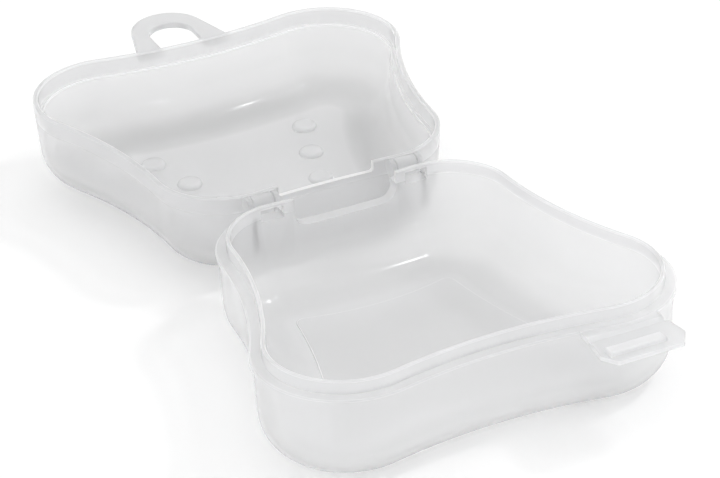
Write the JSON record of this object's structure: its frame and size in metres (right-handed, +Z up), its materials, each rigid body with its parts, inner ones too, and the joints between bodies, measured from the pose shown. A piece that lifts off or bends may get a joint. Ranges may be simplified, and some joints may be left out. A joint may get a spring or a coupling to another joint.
{
  "type": "mouth guard case",
  "caption": "Clear lobed hard case for a sports mouth guard: base tray, hinged lid tray, folding latch flap and hang loop, stored open.",
  "frame": {"origin": "middle of the base tray's underside, on the surface it stands on", "axes": "+X along the hinge line to the latch side, +Y from the base tray to the open lid, +Z up"},
  "size_m": [0.0898, 0.1844, 0.0236],
  "materials": {
    "base_plastic": "clear polypropylene, slightly frosted",
    "lid_plastic": "clear polypropylene, slightly frosted",
    "hinge_plastic": "clear polypropylene, smooth",
    "latch_plastic": "clear polypropylene, smooth"
  },
  "bodies": {
    "base": {"base_shell": "base_plastic", "base_lip": "base_plastic", "floor_panel": "base_plastic", "latch_shelf": "base_plastic", "hinge_ear_left_inner": "hinge_plastic", "hinge_ear_left_outer": "hinge_plastic", "hinge_ear_right_inner": "hinge_plastic", "hinge_ear_right_outer": "hinge_plastic", "hinge_bar_left": "hinge_plastic", "hinge_bar_right": "hinge_plastic"},
    "lid": {"lid_shell": "lid_plastic", "lid_skirt": "lid_plastic", "lid_catch": "lid_plastic", "hang_loop": "lid_plastic", "hinge_clip_left": "hinge_plastic", "hinge_clip_right": "hinge_plastic", "lid_pad_left_1": "lid_plastic", "lid_pad_left_2": "lid_plastic", "lid_pad_left_3": "lid_plastic", "lid_pad_right_1": "lid_plastic", "lid_pad_right_2": "lid_plastic", "lid_pad_right_3": "lid_plastic"},
    "latch": {"latch_flap": "latch_plastic", "latch_rib": "latch_plastic"}
  },
  "joints": [
    {"name": "lid_hinge", "type": "hinge", "parent": "base", "child": "lid", "pos_m": [0, 0.04, 0.0214], "axis": [1, 0, 0], "range_deg": [0, 178.7]},
    {"name": "latch_fold", "type": "hinge", "parent": "base", "child": "latch", "pos_m": [0.0244, -0.0408, 0.02], "axis": [-1, 0, 0], "range_deg": [0, 90]}
  ]
}
